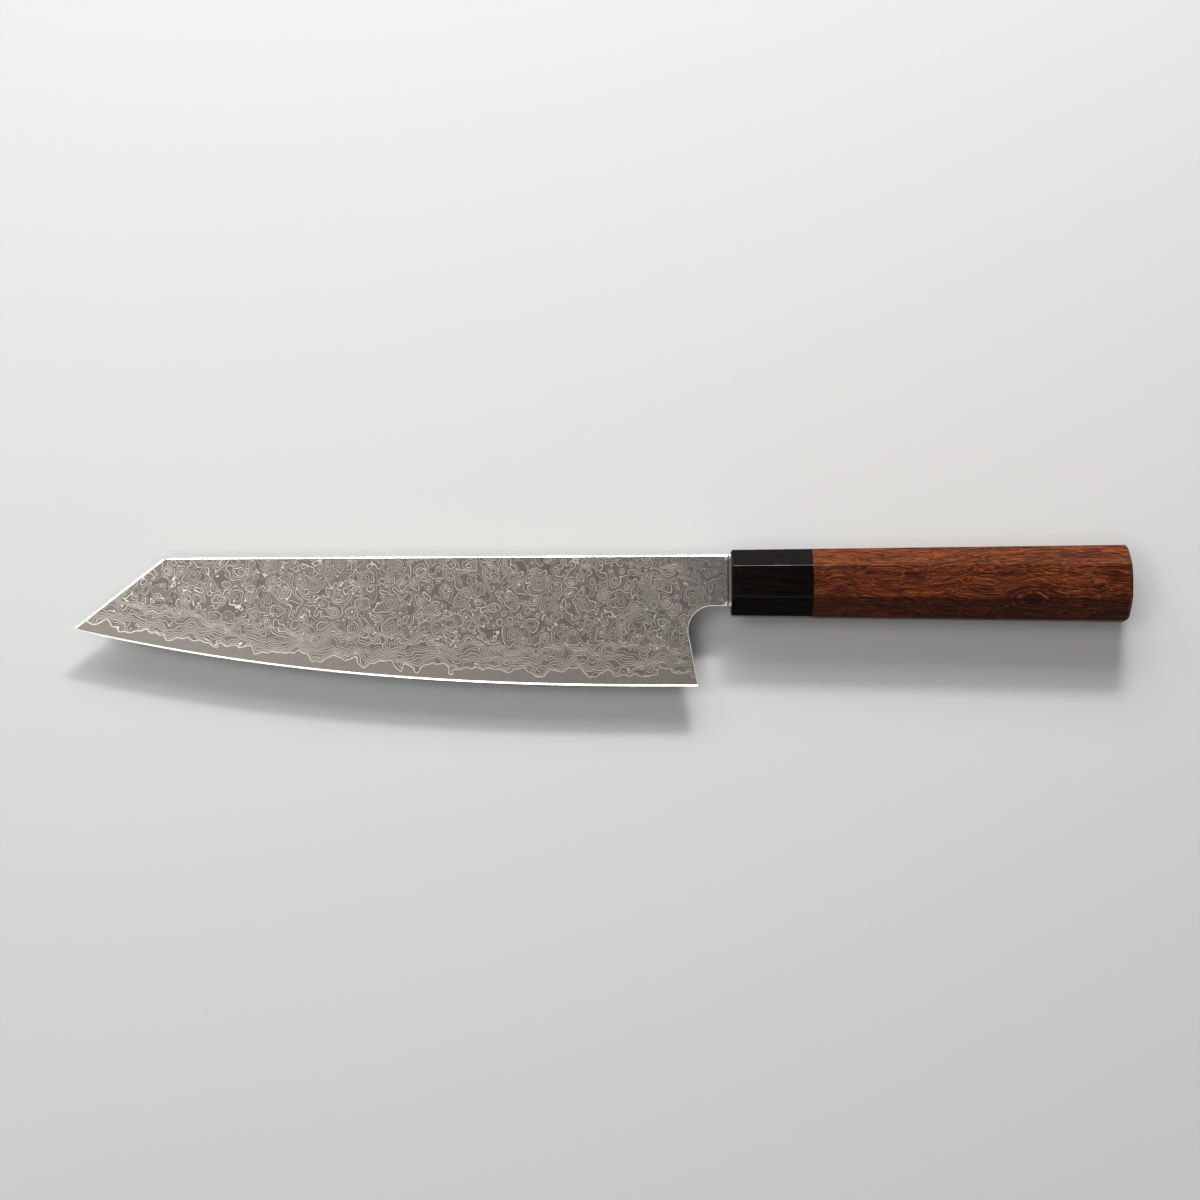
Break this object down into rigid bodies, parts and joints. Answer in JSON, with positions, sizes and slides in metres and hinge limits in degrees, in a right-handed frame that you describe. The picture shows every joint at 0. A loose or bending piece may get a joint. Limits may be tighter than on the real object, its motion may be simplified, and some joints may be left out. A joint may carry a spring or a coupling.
{
  "type": "kitchen knife",
  "caption": "Kitchen knife with a long flat blade, angled clip tip, patterned cladding over a hard core, and an octagonal wooden handle with a dark ferrule.",
  "frame": {"origin": "under the middle of the knife's outline, level with the lowest part of the handle, with the knife lying on its right side", "axes": "+X from the tip to the butt along the length, +Y from the cutting edge to the spine, +Z through the thickness, out of the knife's left side"},
  "size_m": [0.3546, 0.0472, 0.021],
  "materials": {
    "core_steel": "satin etched hard steel with a polished edge bevel",
    "cladding_steel": "etched pattern welded steel",
    "tang_steel": "plain steel, polished at the shoulder",
    "ferrule_wood": "oiled black hardwood",
    "handle_wood": "oiled red brown hardwood",
    "dowel_wood": "plain pale wood",
    "adhesive": "cured adhesive",
    "seal_resin": "black resin"
  },
  "bodies": {
    "root": {"blade_core": "core_steel", "cladding_left": "cladding_steel", "cladding_right": "cladding_steel", "tang": "tang_steel", "ferrule": "ferrule_wood", "handle_body": "handle_wood", "dowel_left": "dowel_wood", "dowel_right": "dowel_wood", "tang_adhesive": "adhesive", "mouth_seal": "seal_resin"}
  },
  "joints": []
}
